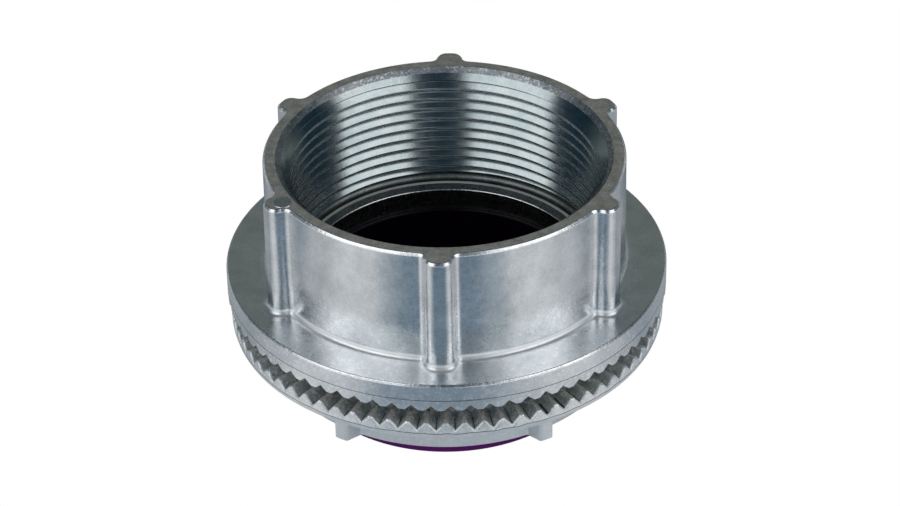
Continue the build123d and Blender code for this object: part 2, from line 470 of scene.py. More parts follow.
def thread_surface(crest_z, start_z, end_z, crest, inward, cut, end_r, columns):
    """Points of a right-handed helical thread in rows, the faces on its crest, and the columns' angles."""
    profile = thread_profile()
    top = crest_z - PITCH / 4 + PITCH * math.ceil((start_z - crest_z) / PITCH + 0.5)
    turns = int(math.ceil((top - end_z) / PITCH)) + 2
    down = (np.arange(turns)[:, None] * PITCH + profile[None, :, 0]).ravel()
    depth = np.tile(profile[:, 1], turns)
    turn_of = np.arange(columns) / columns
    z = top - down[:, None] + PITCH * turn_of[None, :]
    sign = 1 if inward else -1
    r = np.broadcast_to(crest + sign * depth[:, None], z.shape).copy()

    # The cone at the start, whose last point moves to where it meets the thread
    over = sign * (cut(z) - r)
    cut_here = over > 0
    leaves = np.zeros_like(cut_here)
    leaves[:-1] = cut_here[:-1] & ~cut_here[1:]
    share = np.where(leaves, over / np.where(leaves, over - np.roll(over, -1, 0), 1), 0)
    z = z + share * (np.roll(z, -1, 0) - z)
    r = np.where(cut_here, cut(z), r)

    # The end face, and the flat start
    low = z <= end_z
    first_low = low & ~np.roll(low, 1, 0)
    above_z, above_r = np.roll(z, 1, 0), np.roll(r, 1, 0)
    share = np.where(first_low, (above_z - end_z) / np.maximum(above_z - z, 1e-9), 0)
    r = np.where(first_low, above_r + share * (r - above_r), np.where(low, end_r, r))
    r = np.where(z >= start_z, cut(np.array(start_z)), r)
    z = np.clip(z, end_z, start_z)
    angles = 2 * math.pi * turn_of
    on_land = (depth[:-1] < CREST_DEPTH) & (depth[1:] < CREST_DEPTH)
    on_crest = on_land[:, None] & ~cut_here[:-1] & ~cut_here[1:]
    return np.stack([r * np.cos(angles), r * np.sin(angles), z], -1), on_crest, angles


def thread_solid(name, crest_z, start_z, end_z, crest, inward, cut, back_r, end_r, columns, materials):
    """A ring with a right-handed helical thread on one side, from start_z down to end_z.

    crest_z is the height of a crest on the +Y side, cut(z) the cone that limits the thread at its
    start, and end_r the radius of the face that ends it. materials are those of flanks and crests.
    """
    surface, on_crest, angles = thread_surface(crest_z, start_z, end_z, crest, inward, cut, end_r, columns)
    per_turn = len(thread_profile())
    count = len(surface)
    k, i = np.meshgrid(np.arange(count - 1), np.arange(columns), indexing="ij")
    wrap = i == columns - 1
    right = np.where(wrap, 0, i + 1)
    right_high = np.where(wrap, np.maximum(k - per_turn, 0), k) * columns + right
    right_low = np.where(wrap, np.maximum(k + 1 - per_turn, 0), k + 1) * columns + right
    faces = np.stack([k * columns + i, (k + 1) * columns + i, right_low, right_high], -1).reshape(-1, 4)

    def band(one, two):
        return np.stack([one, two, np.roll(two, -1), np.roll(one, -1)], 1)

    around = np.arange(columns)
    low_row = (count - 1) * columns + around
    back_low = count * columns + around
    back_high = back_low + columns
    faces = np.concatenate(
        [faces, band(low_row, back_low), band(back_low, back_high), band(back_high, around)])
    points = np.concatenate(
        [surface.reshape(-1, 3), circle(angles, back_r, end_z), circle(angles, back_r, start_z)])
    if is_inside_out(points, faces):
        faces = faces[:, ::-1]
    slots = np.zeros(len(faces))
    slots[:on_crest.size] = on_crest.ravel()
    piece = make_mesh(name, points, faces, slots, materials)
    join_points(piece)
    return piece


def join_points(piece):
    """Joins points that fell together, drops the faces that collapsed and keeps crisp edges."""
    solid = bmesh.new()
    solid.from_mesh(piece.data)
    bmesh.ops.remove_doubles(solid, verts=solid.verts, dist=JOIN_DISTANCE * MM)
    bmesh.ops.dissolve_degenerate(solid, edges=solid.edges, dist=COLLAPSE_DISTANCE * MM)
    solid.to_mesh(piece.data)
    solid.free()
    piece.data.set_sharp_from_angle(angle=math.radians(SMOOTH_TURN))


# Materials

SPARKLE = (0.95, 0.96, 0.97, 1)
SPECK_RELIEF = 0.025
GLOSS_SCALE = 0.9
WAVE_SCALE = 0.12


def empty_nodes(owner):
    """The emptied nodes, and the links, of a material or world."""
    owner.use_nodes = True
    owner.node_tree.nodes.clear()
    return owner.node_tree.nodes, owner.node_tree.links


def new_material(name):
    material = bpy.data.materials.new(name)
    nodes, links = empty_nodes(material)
    output = nodes.new("ShaderNodeOutputMaterial")
    shader = nodes.new("ShaderNodeBsdfPrincipled")
    links.new(shader.outputs[0], output.inputs["Surface"])
    return material, nodes, links, shader


def noise(nodes, links, scale, detail=2.0, rough=0.5):
    """A noise over the piece. scale is in waves per millimetre."""
    place = nodes.new("ShaderNodeTexCoord")
    mapping = nodes.new("ShaderNodeMapping")
    mapping.inputs["Scale"].default_value = [1 / MM] * 3
    links.new(place.outputs["Object"], mapping.inputs["Vector"])
    node = nodes.new("ShaderNodeTexNoise")
    node.inputs["Scale"].default_value = scale
    node.inputs["Detail"].default_value = detail
    node.inputs["Roughness"].default_value = rough
    links.new(mapping.outputs[0], node.inputs["Vector"])
    return node.outputs["Fac"]


def ramp(nodes, links, source, stops):
    """A colour ramp from (place, colour) stops."""
    node = nodes.new("ShaderNodeValToRGB")
    elements = node.color_ramp.elements
    while len(elements) < len(stops):
        elements.new(1.0)
    for element, (place, colour) in zip(elements, stops):
        element.position = place
        element.color = (*colour, 1)
    links.new(source, node.inputs["Fac"])
    return node.outputs["Color"]


def blend(nodes, links, way, first, second):
    """Two colours multiplied or added."""
    mix = nodes.new("ShaderNodeMix")
    mix.data_type = "RGBA"
    mix.blend_type = way
    mix.inputs["Factor"].default_value = 1.0
    links.new(first, mix.inputs["A"])
    links.new(second, mix.inputs["B"])
    return mix.outputs["Result"]


def span(nodes, links, source, low, high, source_low=0.3, source_high=0.7):
    """A value moved from the source's range to the range from low to high."""
    node = nodes.new("ShaderNodeMapRange")
    node.inputs["From Min"].default_value = source_low
    node.inputs["From Max"].default_value = source_high
    node.inputs["To Min"].default_value = low
    node.inputs["To Max"].default_value = high
    links.new(source, node.inputs["Value"])
    return node.outputs["Result"]


def bump(nodes, links, height, distance, strength, normal=None):
    node = nodes.new("ShaderNodeBump")
    node.inputs["Distance"].default_value = distance * MM
    node.inputs["Strength"].default_value = strength
    links.new(height, node.inputs["Height"])
    if normal is not None:
        links.new(normal, node.inputs["Normal"])
    return node.outputs["Normal"]


def metal(name, dark, light, rough, grain, grain_scale, speck=0.35, metallic=1.0, blotch_scale=0.2,
          speck_scale=2.4, wave=0.0):
    """Cast or machined zinc: blotchy tone, uneven gloss, an even grain and fine bright specks.

    rough is the lowest and highest roughness, grain and wave are heights in millimetres, and speck
    is the strength of the specks. wave bends the reflections gently.
    """
    material, nodes, links, shader = new_material(name)
    shader.inputs["Metallic"].default_value = metallic
    tone = ramp(nodes, links, noise(nodes, links, blotch_scale, 5, 0.65), [(0.35, dark), (0.65, light)])
    specks = noise(nodes, links, speck_scale, 2, 0.6)
    mix = nodes.new("ShaderNodeMix")
    mix.data_type = "RGBA"
    links.new(span(nodes, links, specks, 0, speck, 0.53, 0.66), mix.inputs["Factor"])
    links.new(tone, mix.inputs["A"])
    mix.inputs["B"].default_value = SPARKLE
    links.new(mix.outputs["Result"], shader.inputs["Base Color"])
    gloss = noise(nodes, links, GLOSS_SCALE, 5, 0.65)
    links.new(span(nodes, links, gloss, *rough), shader.inputs["Roughness"])
    normal = bump(nodes, links, noise(nodes, links, grain_scale, 4, 0.6), grain, 1.0)
    normal = bump(nodes, links, specks, SPECK_RELIEF * speck, 1.0, normal)
    if wave > 0:
        normal = bump(nodes, links, noise(nodes, links, WAVE_SCALE, 3, 0.5), wave, 1.0, normal)
    links.new(normal, shader.inputs["Normal"])
    return material


def rubber():
    material, nodes, links, shader = new_material("seal_rubber")
    tone = noise(nodes, links, 0.5, 4, 0.6)
    links.new(ramp(nodes, links, tone, [(0.3, (0.20, 0.15, 0.10)), (0.7, (0.32, 0.25, 0.18))]),
              shader.inputs["Base Color"])
    grain = noise(nodes, links, 3.0, 3, 0.6)
    links.new(span(nodes, links, grain, 0.55, 0.75), shader.inputs["Roughness"])
    links.new(bump(nodes, links, grain, 0.05, 0.6), shader.inputs["Normal"])
    return material


def plastic(name, dark, light):
    material, nodes, links, shader = new_material(name)
    tone = noise(nodes, links, 0.12, 3, 0.5)
    links.new(ramp(nodes, links, tone, [(0.3, dark), (0.7, light)]), shader.inputs["Base Color"])
    shader.inputs["Specular IOR Level"].default_value = 0.12
    soft = noise(nodes, links, 0.7, 4, 0.6)
    links.new(span(nodes, links, soft, 0.26, 0.36), shader.inputs["Roughness"])
    links.new(bump(nodes, links, soft, 0.02, 0.4), shader.inputs["Normal"])
    return material


# Cast faces of the hub body
cast = metal("cast_zinc", (0.64, 0.67, 0.69), (0.84, 0.86, 0.88), (0.20, 0.36), 0.015, 1.0, 0.3, wave=0.12)
# top_sheen_zinc: a lighter copy of cast zinc for the flange's upward top, painted light
top_sheen_zinc = metal("top_sheen_zinc", (0.76, 0.79, 0.80), (0.92, 0.93, 0.94), (0.24, 0.36), 0.02, 1.0, 0.3, wave=0.06)
# foot_highlight_zinc: a near-white copy of cast zinc for the foot fillet, a painted highlight
foot_highlight_zinc = metal("foot_highlight_zinc", (0.88, 0.90, 0.90), (0.98, 0.99, 0.99), (0.34, 0.44), 0.03, 1.0, 0.3)
edge_band = metal("edge_band", (0.64, 0.68, 0.71), (0.80, 0.83, 0.85), (0.30, 0.44), 0.06, 1.2, 0.9,
                  speck_scale=1.8)
rim_face = metal("rim_face", (0.36, 0.345, 0.295), (0.60, 0.575, 0.51), (0.50, 0.65), 0.06, 1.2, 0.3,
                 metallic=0.5, blotch_scale=0.5)
# worn_edge_highlight: worn, chipped edges whose lighter colour is partly a painted highlight
worn_edge_highlight = metal("worn_edge_highlight", (0.76, 0.77, 0.78), (0.97, 0.97, 0.97), (0.20, 0.34), 0.06, 0.7)
pin_zinc = metal("pin_zinc", (0.30, 0.33, 0.34), (0.42, 0.45, 0.46), (0.38, 0.50), 0.03, 1.2, 0.2,
                 metallic=0.7)
# crease_shade: near-black zinc, painted shade in the parting lines' grooves and the nut's notch bottoms
crease_shade = metal("crease_shade", (0.10, 0.11, 0.11), (0.16, 0.17, 0.17), (0.35, 0.50), 0.02, 1.2, 0.1)

# Inside of the mouth
countersink = metal("countersink", (0.20, 0.23, 0.25), (0.42, 0.44, 0.45), (0.30, 0.48), 0.06, 1.0, 0.6)
thread_zinc = metal("thread_zinc", (0.33, 0.39, 0.40), (0.44, 0.48, 0.48), (0.16, 0.22), 0.004, 0.6, 0.08)
crest_zinc = metal("crest_zinc", (0.36, 0.37, 0.34), (0.66, 0.66, 0.62), (0.40, 0.60), 0.10, 1.0, 0.5,
                   metallic=0.35, blotch_scale=0.9)
# runout_shade_zinc: dark zinc, painted shade in the undercut groove behind the thread's end
runout_shade_zinc = metal("runout_shade_zinc", (0.16, 0.18, 0.18), (0.26, 0.28, 0.27), (0.34, 0.46), 0.015, 1.0, 0.15)
groove_zinc = metal("groove_zinc", (0.42, 0.45, 0.44), (0.56, 0.58, 0.56), (0.24, 0.36), 0.015, 1.0, 0.15)
# ridge_highlight_zinc: light and less metallic, a painted highlight on the stop's ridge
ridge_highlight_zinc = metal("ridge_highlight_zinc", (0.74, 0.76, 0.72), (0.88, 0.90, 0.86), (0.30, 0.42), 0.02, 1.0, 0.3,
                   metallic=0.2)

# Teeth and locknut
tooth_face = metal("tooth_face", (0.38, 0.42, 0.42), (0.68, 0.72, 0.72), (0.26, 0.42), 0.14, 1.1, 1.0,
                   metallic=0.45, blotch_scale=0.8, speck_scale=1.5)
# nut_edge_highlight: near-white zinc, a painted highlight on the tooth lands and edges
nut_edge_highlight = metal("nut_edge_highlight", (0.80, 0.82, 0.83), (0.97, 0.98, 0.98), (0.22, 0.34), 0.10, 1.3, 0.6,
                 metallic=0.6, blotch_scale=0.6, speck_scale=1.7)
nut_cast = metal("nut_cast", (0.60, 0.63, 0.65), (0.70, 0.73, 0.75), (0.28, 0.40), 0.02, 1.2)

hub_materials = [cast, rim_face, worn_edge_highlight, edge_band, tooth_face, groove_zinc, countersink, crease_shade,
                 ridge_highlight_zinc, top_sheen_zinc, runout_shade_zinc, foot_highlight_zinc]
CAST, RIM_FACE, WORN_EDGE_HIGHLIGHT, SIDE, TOOTH, GROOVE, CONE, SEAM_SHADE, RIDGE_HIGHLIGHT, TOP_SHEEN, RUNOUT_SHADE, FOOT_HIGHLIGHT = range(len(hub_materials))
nut_materials = [tooth_face, nut_edge_highlight, nut_cast, crease_shade]
NUT_TOOTH, NUT_HIGHLIGHT, NUT_CAST, NUT_SHADE = range(len(nut_materials))


# Hub body

def mouth_cone(z):
    """Radius of the mouth's cone at a height."""
    return MOUTH_R - (rim_z - z) * MOUTH_SLOPE


def add_rim_and_barrel(section, points, normals):
    """Rows from the mouth's edge over the rim and down the wall to the flange's top."""
    top = rim_z - PIN_RISE
    section.circle(MOUTH_R, top, RIM_FACE)
    section.circle(MOUTH_R + MOUTH_MARGIN, top, RIM_FACE)
    below = (0, 2, 0)
    edge = rounded([(-RIM_EDGE - EDGE_MARGIN, 0, 0), (-RIM_EDGE, 0, RIM_INNER_ROUND),
                    (0, RIM_EDGE * EDGE_SLOPE, RIM_OUTER_ROUND), below], 5)[:-1]
    for k, (out, drop) in enumerate(edge):
        # the rim edge's rows take the lighter worn edge material, partly a painted highlight
        slot = RIM_FACE if k == 0 else WORN_EDGE_HIGHLIGHT if k < len(edge) - 1 else CAST
        section.offset(points, normals, out, top - drop, slot)
    wall_low = FLANGE_Z + FOOT_ROUND
    for z in np.linspace(rim_z - WALL_START, wall_low, 4):
        section.offset(points, normals, DRAFT * (rim_z - z) / (rim_z - wall_low), z, CAST)
    # the foot fillet's rows take a painted highlight, and its last row the lighter top
    for k in range(1, FOOT_STEPS + 1):
        t = k / FOOT_STEPS * math.pi / 2
        out = DRAFT + FOOT_ROUND * (1 - math.cos(t))
        z = FLANGE_Z + FOOT_ROUND * (1 - math.sin(t))
        section.offset(points, normals, out, z, FOOT_HIGHLIGHT if k < FOOT_STEPS else TOP_SHEEN)


def add_flange(section, angles, wobble):
    """Rows from the flange's top over its worn edge and side to its teeth's inner ends."""
    side_r = flange_r - SIDE_INSET
    upper_r = flange_r - DRAFTED_INSET
    edge_low = FLANGE_Z - FLANGE_EDGE * EDGE_SLOPE
    # the flange's top takes the lighter top material, painted light
    section.circle(flange_r - FLANGE_EDGE - 2 * EDGE_MARGIN, FLANGE_Z, TOP_SHEEN)
    side = rounded([(flange_r - FLANGE_EDGE - EDGE_MARGIN, FLANGE_Z, 0),
                    (upper_r - FLANGE_EDGE, FLANGE_Z, FLANGE_INNER_ROUND),
                    (upper_r, edge_low, FLANGE_OUTER_ROUND),
                    (side_r, PARTING_Z + PARTING_HALF, 0)], 8)[:-1]
    for r, z in side:
        # the flange's worn edge takes the lighter edge material, partly a painted highlight
        section.circle(r, z, WORN_EDGE_HIGHLIGHT if z > edge_low else SIDE)
    # the parting line's groove is painted shade
    section.circle(side_r, PARTING_Z + PARTING_HALF, SEAM_SHADE)
    section.circle(side_r - PARTING_STEP, PARTING_Z, SEAM_SHADE)
    section.circle(side_r, PARTING_Z - PARTING_HALF, SIDE)

    def notch(r):
        run = (r - FLANGE_NOTCH_START) / (flange_r - FLANGE_NOTCH_START)
        local = FLANGE_NOTCH_DEPTH * max(0, run)
        return notch_depth(
            angles, FLANGE_TOOTH_TURN, r, FLANGE_NOTCH_WIDTH, FLANGE_NOTCH_DEPTH, local, wobble)

    for inset, rise in FLANGE_TIP_ROWS:
        section.circle(flange_r - inset, notch(flange_r - inset) + rise, SIDE if rise > 0 else TOOTH)
    for r in FLANGE_TOOTH_ROWS:
        section.circle(r, notch(r), TOOTH)


def add_nipple(section):
    """Rows round the sealing ring's pocket, down the nipple and up its bore."""
    core_r = nipple_r - THREAD_DEPTH
    section.circles(rounded([
        (RECESS_R + POCKET_EDGE, 0, 0), (RECESS_R, POCKET_EDGE_RISE, 0), (RECESS_R, recess_z, POCKET_ROUND),
        (core_r, recess_z, POCKET_ROUND), (core_r, nipple_end_z + NIPPLE_EDGE_RISE, 0),
        (core_r - NIPPLE_EDGE, nipple_end_z, 0), (BORE_R + BORE_CHAMFER, nipple_end_z, 0),
        (BORE_R, nipple_end_z + BORE_CHAMFER, 0), (BORE_R, 0, 0)], 4), GROOVE)


def add_stop_and_mouth(section):
    """Rows over the conduit's stop, behind the thread, and up the rough part of the mouth's cone."""
    stop_low = STOP_Z - STOP_DISH
    groove_top = THREAD_END_Z + GROOVE_MARGIN
    stop = rounded([(BORE_R, BORE_MIDDLE_Z, 0), (BORE_R, stop_low, BORE_EDGE), (STOP_R, STOP_Z, STOP_ROUND),
                    (GROOVE_R, STOP_Z + STOP_RISE, GROOVE_ROUND), (GROOVE_R, groove_top, 0)], 8)
    for (r, z), (next_r, next_z) in zip(stop, list(stop[1:]) + [stop[-1]]):
        # the ridge gets a painted highlight, the bore's upper edge the lighter edge material, partly a
        # painted highlight, and the groove past the ridge painted shade
        on_ridge = max(abs(r - STOP_R), abs(next_r - STOP_R)) < RIDGE_HIGHLIGHT_WIDTH / 2
        on_edge = max(abs(z - stop_low), abs(next_z - stop_low)) < BORE_EDGE
        section.circle(r, z, RIDGE_HIGHLIGHT if on_ridge else WORN_EDGE_HIGHLIGHT if on_edge else GROOVE if r < STOP_R else RUNOUT_SHADE)
    section.circle(TRIMMED_R, groove_top, GROOVE)
    section.circle(TRIMMED_R, trimmed_z - TRIMMED_GAP, GROOVE)
    section.circle(TRIMMED_R, trimmed_z, CONE)
    section.circle(MOUTH_R - MOUTH_EDGE, rim_z - MOUTH_EDGE / MOUTH_SLOPE, CONE)


def hub_casting():
    """The die-cast body without its threads: barrel, ribs, toothed flange and nipple."""
    rng = np.random.default_rng(11)
    teeth = tooth_angles(FLANGE_TOOTH_TURN, flange_r, FLANGE_NOTCH_WIDTH, FLANGE_NOTCH_POINTS)
    points, normals, angles = lobed_outline(
        BARREL_R, RIB_COUNT, RIB_START, RIB_R, RIB_TIP, RIB_FLARE, RIB_TIP_ROUND, RIB_ROOT_ROUND, teeth)
    wobble = 1 + rng.normal(0, FLANGE_WOBBLE, TOOTH_COUNT)
    section = Section(angles)
    add_rim_and_barrel(section, points, normals)
    add_flange(section, angles, wobble)
    add_nipple(section)
    add_stop_and_mouth(section)
    return ring_solid("hub_casting", section.rows, hub_materials)


def pin_mark():
    """A thin round bead on the rim's face, with a smoother disc inside it."""
    disc, bead = range(2)
    centre_r = 0.02
    disc_z = rim_z - PIN_RISE + PIN_DISC_RISE
    section = Section(even_angles(PIN_COLUMNS))
    section.circle(centre_r, rim_z - PIN_SUNK, disc)
    section.circle(centre_r, disc_z, disc)
    section.circle(PIN_R - PIN_BEAD - PIN_INNER_SLOPE, disc_z, bead)
    section.circle(PIN_R - PIN_BEAD, rim_z, bead)
    section.circle(PIN_R, rim_z, bead)
    section.circle(PIN_R + PIN_BEAD, rim_z - 2 * PIN_RISE, bead)
    section.circle(PIN_R + PIN_BEAD, rim_z - PIN_SUNK, bead)
    # the bead takes the lighter edge material, partly a painted highlight
    piece = ring_solid("pin_mark", section.rows, [pin_zinc, worn_edge_highlight])
    turn = math.radians(PIN_TURN)
    piece.data.transform(Matrix.Translation(Vector((math.cos(turn), math.sin(turn), 0)) * PIN_AT * MM))
    return piece


def conduit_thread():
    return thread_solid("conduit_thread", CREST_Z, trimmed_z, THREAD_END_Z, crest_r, True, mouth_cone,
                        TRIMMED_R + THREAD_BACK, GROOVE_R, THREAD_COLUMNS, [thread_zinc, crest_zinc])


def nipple_cone(z):
    """Radius of the nipple's plain shank above its thread, at a height."""
    return nipple_r - NIPPLE_INSET - np.maximum(0, z - NIPPLE_CREST_Z) * NIPPLE_RUNOUT


def nipple_thread():
    core_r = nipple_r - THREAD_DEPTH
    return thread_solid("nipple_thread", NIPPLE_CREST_Z, NIPPLE_START_Z, nipple_end_z + NIPPLE_EDGE_RISE,
                        nipple_r - NIPPLE_INSET, False, nipple_cone, core_r - THREAD_BACK, core_r,
                        NIPPLE_COLUMNS, [nut_cast, nut_cast])


# Locknut

def add_nut_teeth(section, angles, wobble, ragged):
    """Rows from the bore's upper edge out over the toothed face."""

    def notch(r):
        deep = NUT_NOTCH_DEPTH * min(1, max(0, (r - NUT_NOTCH_START + NUT_NOTCH_RUN) / NUT_NOTCH_RUN))
        return notch_depth(angles, NUT_TOOTH_TURN, r, NUT_NOTCH_WIDTH, NUT_NOTCH_DEPTH, deep, wobble)

    def tooth_slots(r):
        """Painted highlight on the lands between the notches, and painted shade along their bottoms."""
        depth = notch(r)
        after = np.roll(depth, -1)
        land = np.maximum(depth, after) < 2 * TOOTH_EDGE
        bottom = np.minimum(depth, after) > NUT_NOTCH_DEPTH * SHADE_SHARE
        return np.where(land, NUT_HIGHLIGHT, np.where(bottom, NUT_SHADE, NUT_TOOTH))

    section.circle(NUT_BORE_R + NUT_BORE_CHAMFER, nut_top_z, NUT_TOOTH)
    for r in (NUT_NOTCH_START - NUT_NOTCH_RUN, NUT_NOTCH_START):
        section.circle(r, nut_top_z - notch(r), NUT_TOOTH)
    for r in NUT_TOOTH_ROWS:
        section.circle(r, nut_top_z - notch(r), tooth_slots(r))
    # the tooth edges' rows take a painted highlight
    for k, (inset, drop) in enumerate(NUT_TIP_ROWS):
        r = nut_r - inset
        chip = np.maximum(0, ragged[k]) * CHIP
        section.circle(r - chip * CHIP_INSET, nut_top_z - notch(r) - drop - chip, NUT_HIGHLIGHT)


def add_collar(section, points, normals):
    """Rows down the collar and lugs, over their end face and up the bore."""
    for t in np.linspace(0, math.pi / 2, 5):
        out = COLLAR_FILLET * (1 - math.sin(t))
        section.offset(points, normals, out, NUT_RIM_Z - COLLAR_FILLET * (1 - math.cos(t)), NUT_CAST)

    def end_z(outline):
        """Height of the collar's end face, which slopes up along the lugs."""
        past_collar = np.maximum(0, np.hypot(*outline.T) - COLLAR_R)
        return nut_end_z + LUG_RISE * past_collar / (LUG_R - COLLAR_R)

    for t in np.linspace(0, math.pi / 2, 5):
        inset = COLLAR_ROUND * (1 - math.cos(t))
        z = end_z(points - normals * inset) + COLLAR_ROUND * (1 - math.sin(t))
        section.offset(points, normals, -inset, z, NUT_CAST)
    inner_r = COLLAR_R - COLLAR_ROUND - COLLAR_MARGIN
    for share in (0.35, 0.7):
        mixed = points * (1 - share) + section.radial * inner_r * share
        section.offset(mixed, normals, 0, end_z(mixed), NUT_CAST)
    section.circles(rounded([
        (inner_r, nut_end_z, 0), (NUT_BORE_R + NUT_BORE_CHAMFER, nut_end_z, NUT_BORE_ROUND),
        (NUT_BORE_R, nut_end_z + NUT_BORE_CHAMFER, NUT_BORE_ROUND),
        (NUT_BORE_R, nut_top_z - NUT_BORE_CHAMFER, 0)], 3), NUT_CAST)


def nut_casting():
    """The locknut: toothed rim, collar and lugs."""
    rng = np.random.default_rng(23)
    teeth = tooth_angles(NUT_TOOTH_TURN, nut_r, NUT_NOTCH_WIDTH, NUT_NOTCH_POINTS)
    points, normals, angles = lobed_outline(
        COLLAR_R, LUG_COUNT, LUG_START, LUG_R, LUG_WIDTH, LUG_FLARE, LUG_ROUND, LUG_ROOT_ROUND, teeth)
    wobble = 1 + rng.normal(0, NUT_WOBBLE, TOOTH_COUNT)
    ragged = rng.normal(0, 1, (len(NUT_TIP_ROWS), len(angles)))
    wave_turn = np.linspace(0, 2 * math.pi, NUT_WAVE_POINTS)
    wave = NUT_PARTING_WAVE * np.interp(angles, wave_turn, rng.normal(0, 1, NUT_WAVE_POINTS))
    section = Section(angles)
    add_nut_teeth(section, angles, wobble, ragged)
    side_r = nut_r - DRAFTED_INSET
    # the nut's parting line is painted shade
    section.circle(nut_r - SIDE_INSET, NUT_PARTING_Z + NUT_PARTING_HALF + wave, NUT_SHADE)
    section.circle(nut_r - NUT_PARTING_INSET, NUT_PARTING_Z + wave, NUT_SHADE)
    section.circle(side_r, NUT_PARTING_Z - NUT_PARTING_HALF + wave, NUT_CAST)
    section.circles(rounded([
        (side_r, NUT_PARTING_Z - NUT_PARTING_HALF, 0), (nut_r - NUT_RIM_DRAFT, NUT_RIM_Z, NUT_RIM_ROUND),
        (LUG_R + COLLAR_FILLET, NUT_RIM_Z, 0)], 7)[1:], NUT_CAST)
    add_collar(section, points, normals)
    return ring_solid("nut_casting", section.rows, nut_materials)


# Sealing ring and liner

def sealing_ring():
    inner = seal_outer_r - SEAL_WIDTH
    start = inner + SEAL_START
    low = seal_low_z + SEAL_LOW_GAP
    top = recess_z - SEAL_TOP_GAP
    outline = rounded([
        (start, top, 0), (inner, top, SEAL_INNER_ROUND), (inner, low, SEAL_INNER_ROUND),
        (seal_outer_r - SIDE_INSET, low, SEAL_LOW_ROUND),
        (seal_outer_r - SEAL_TOP_INSET, top, SEAL_TOP_ROUND), (start, top, 0)])[:-1]
    section = Section(even_angles(ROUND_COLUMNS))
    section.circles(outline, 0)
    return ring_solid("seal_moulding", section.rows, [rubber()])


def throat_liner():
    purple, inside = range(2)
    outer = BORE_R - LINER_GAP
    lip_outer = lip_r - SIDE_INSET
    lip_top = nipple_end_z - LIP_GAP
    lip_low = lip_end_z + SIDE_INSET
    middle = 0.5 * (liner_top_z + lip_end_z)
    outline = rounded([
        (liner_inner_r, middle, 0), (liner_inner_r, liner_top_z, LINER_EDGE),
        (outer, liner_top_z, LINER_EDGE), (outer, lip_top, 0),
        (lip_outer, lip_top, LIP_TOP_ROUND), (lip_outer, lip_low, LIP_ROUND),
        (liner_inner_r, lip_low, LIP_INNER_ROUND), (liner_inner_r, middle, 0)])[:-1]
    section = Section(even_angles(ROUND_COLUMNS))
    for r, z in outline:
        # rows inside the throat and near its upper end are painted shade
        in_shade = r < liner_inner_r + SIDE_INSET or z > liner_top_z - LINER_SHADE
        section.circle(r, z, inside if in_shade else purple)
    return ring_solid("liner_moulding", section.rows, [
        plastic("liner_plastic", (0.130, 0.010, 0.160), (0.160, 0.013, 0.195)),
        plastic("liner_inside_shade", (0.004, 0.001, 0.006), (0.007, 0.001, 0.010))])


for piece, body, node, slot in (
        (hub_casting(), "hub", "hub_body", "die_cast_zinc"),
        (pin_mark(), "hub", "hub_body", "die_cast_zinc"),
        (conduit_thread(), "hub", "hub_body", "die_cast_zinc"),
        (nipple_thread(), "hub", "hub_body", "die_cast_zinc"),
        (nut_casting(), "nut", "locknut", "die_cast_zinc_nut"),
        (sealing_ring(), "hub", "sealing_ring", "seal_rubber"),
        (throat_liner(), "hub", "throat_liner", "liner_plastic")):
    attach(piece, body)
    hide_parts(node)


# Studio

CAMERA_ELEVATION = 34.389
CAMERA_AZIMUTH = -87.692
CAMERA_ROLL = -1.0719
CAMERA_DISTANCE = 525.59
CAMERA_AIM_Z = 5.649
CAMERA_AIM_RIGHT = 0.70
SENSOR_WIDTH = 36
LENS = 111.02
SKY_TILT = 0.35  # the white wall reaches this much higher in front than at the sides
CARD_HEIGHT = 0.3
CARD_REACH = 900
SIDE_CARD_START = 45
FLOOR_CARD_START = 28
FLOOR_CARD_HEIGHT = 0.1
FLOOR_COLOUR = (0.85, 0.85, 0.85, 1)
WHITE = (1, 1, 1)
BOX_LEVEL = 1.5  # brightness, where 1 is white

# In metres
BOX_DISTANCE = 0.9
BOX_WIDTH = 0.45
FLOOR_HALF = 3.0
FLOOR_GAP = 0.0002
CLIP_START = 0.01


def place_camera():
    e, a, roll = (math.radians(v) for v in (CAMERA_ELEVATION, CAMERA_AZIMUTH, CAMERA_ROLL))
    back = Vector((math.cos(a) * math.cos(e), math.sin(a) * math.cos(e), math.sin(e)))
    right = Vector((-math.sin(a), math.cos(a), 0))
    up = back.cross(right)
    rolled_right = right * math.cos(roll) + up * math.sin(roll)
    rolled_up = up * math.cos(roll) - right * math.sin(roll)
    aim = Vector((0, 0, CAMERA_AIM_Z)) + rolled_right * CAMERA_AIM_RIGHT
    data = bpy.data.cameras.new("photo_camera")
    data.sensor_width = SENSOR_WIDTH
    data.lens = LENS
    data.clip_start = CLIP_START
    camera = bpy.data.objects.new("photo_camera", data)
    turn = Matrix((rolled_right, rolled_up, back)).transposed().to_4x4()
    camera.matrix_world = Matrix.Translation((aim + back * CAMERA_DISTANCE) * MM) @ turn
    bpy.context.scene.collection.objects.link(camera)
    bpy.context.scene.camera = camera


def facing(azimuth, elevation):
    """Direction from the hub, with azimuth in degrees to the right of the photo's front."""
    a, e = math.radians(azimuth), math.radians(elevation)
    return Vector((math.sin(a) * math.cos(e), -math.cos(a) * math.cos(e), math.sin(e)))


def softbox(name, start, end):
    """A soft rectangular light between two directions from the hub."""
    toward = (start + end).normalized()
    along = (end - start).normalized()
    across = toward.cross(along)
    length = BOX_DISTANCE * (end / end.dot(toward) - start / start.dot(toward)).length
    data = bpy.data.lights.new(name, "AREA")
    data.shape = "RECTANGLE"
    data.size, data.size_y = length, BOX_WIDTH
    data.energy = BOX_LEVEL * math.pi * length * BOX_WIDTH
    light = bpy.data.objects.new(name, data)
    turn = Matrix((along, across, along.cross(across))).transposed().to_4x4()
    light.matrix_world = Matrix.Translation(toward * BOX_DISTANCE) @ turn
    bpy.context.scene.collection.objects.link(light)


